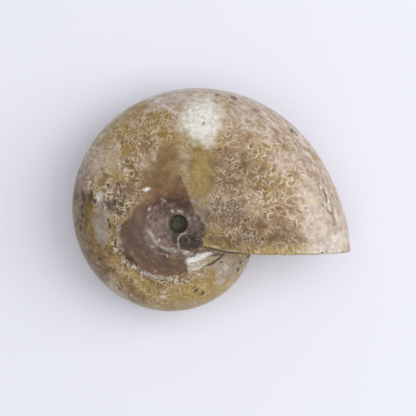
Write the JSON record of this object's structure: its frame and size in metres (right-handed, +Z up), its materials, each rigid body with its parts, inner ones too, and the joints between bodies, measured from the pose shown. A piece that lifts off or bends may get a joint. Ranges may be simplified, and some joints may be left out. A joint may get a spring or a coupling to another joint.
{
  "type": "ammonite fossil",
  "caption": "Polished fossil ammonite: a flat, tightly wound shell with a small umbilicus and a cut aperture, lying on its ground flank as a display stone.",
  "frame": {"origin": "on the resting face, under the middle of the shell's box", "axes": "+Z up from the resting flank, +X from the coil towards the aperture's outer corner, +Y away from the aperture's cut face"},
  "size_m": [0.0602, 0.0482, 0.024],
  "materials": {
    "polished_calcite": "polished"
  },
  "bodies": {
    "root": {"ammonite": "polished_calcite"}
  },
  "joints": []
}
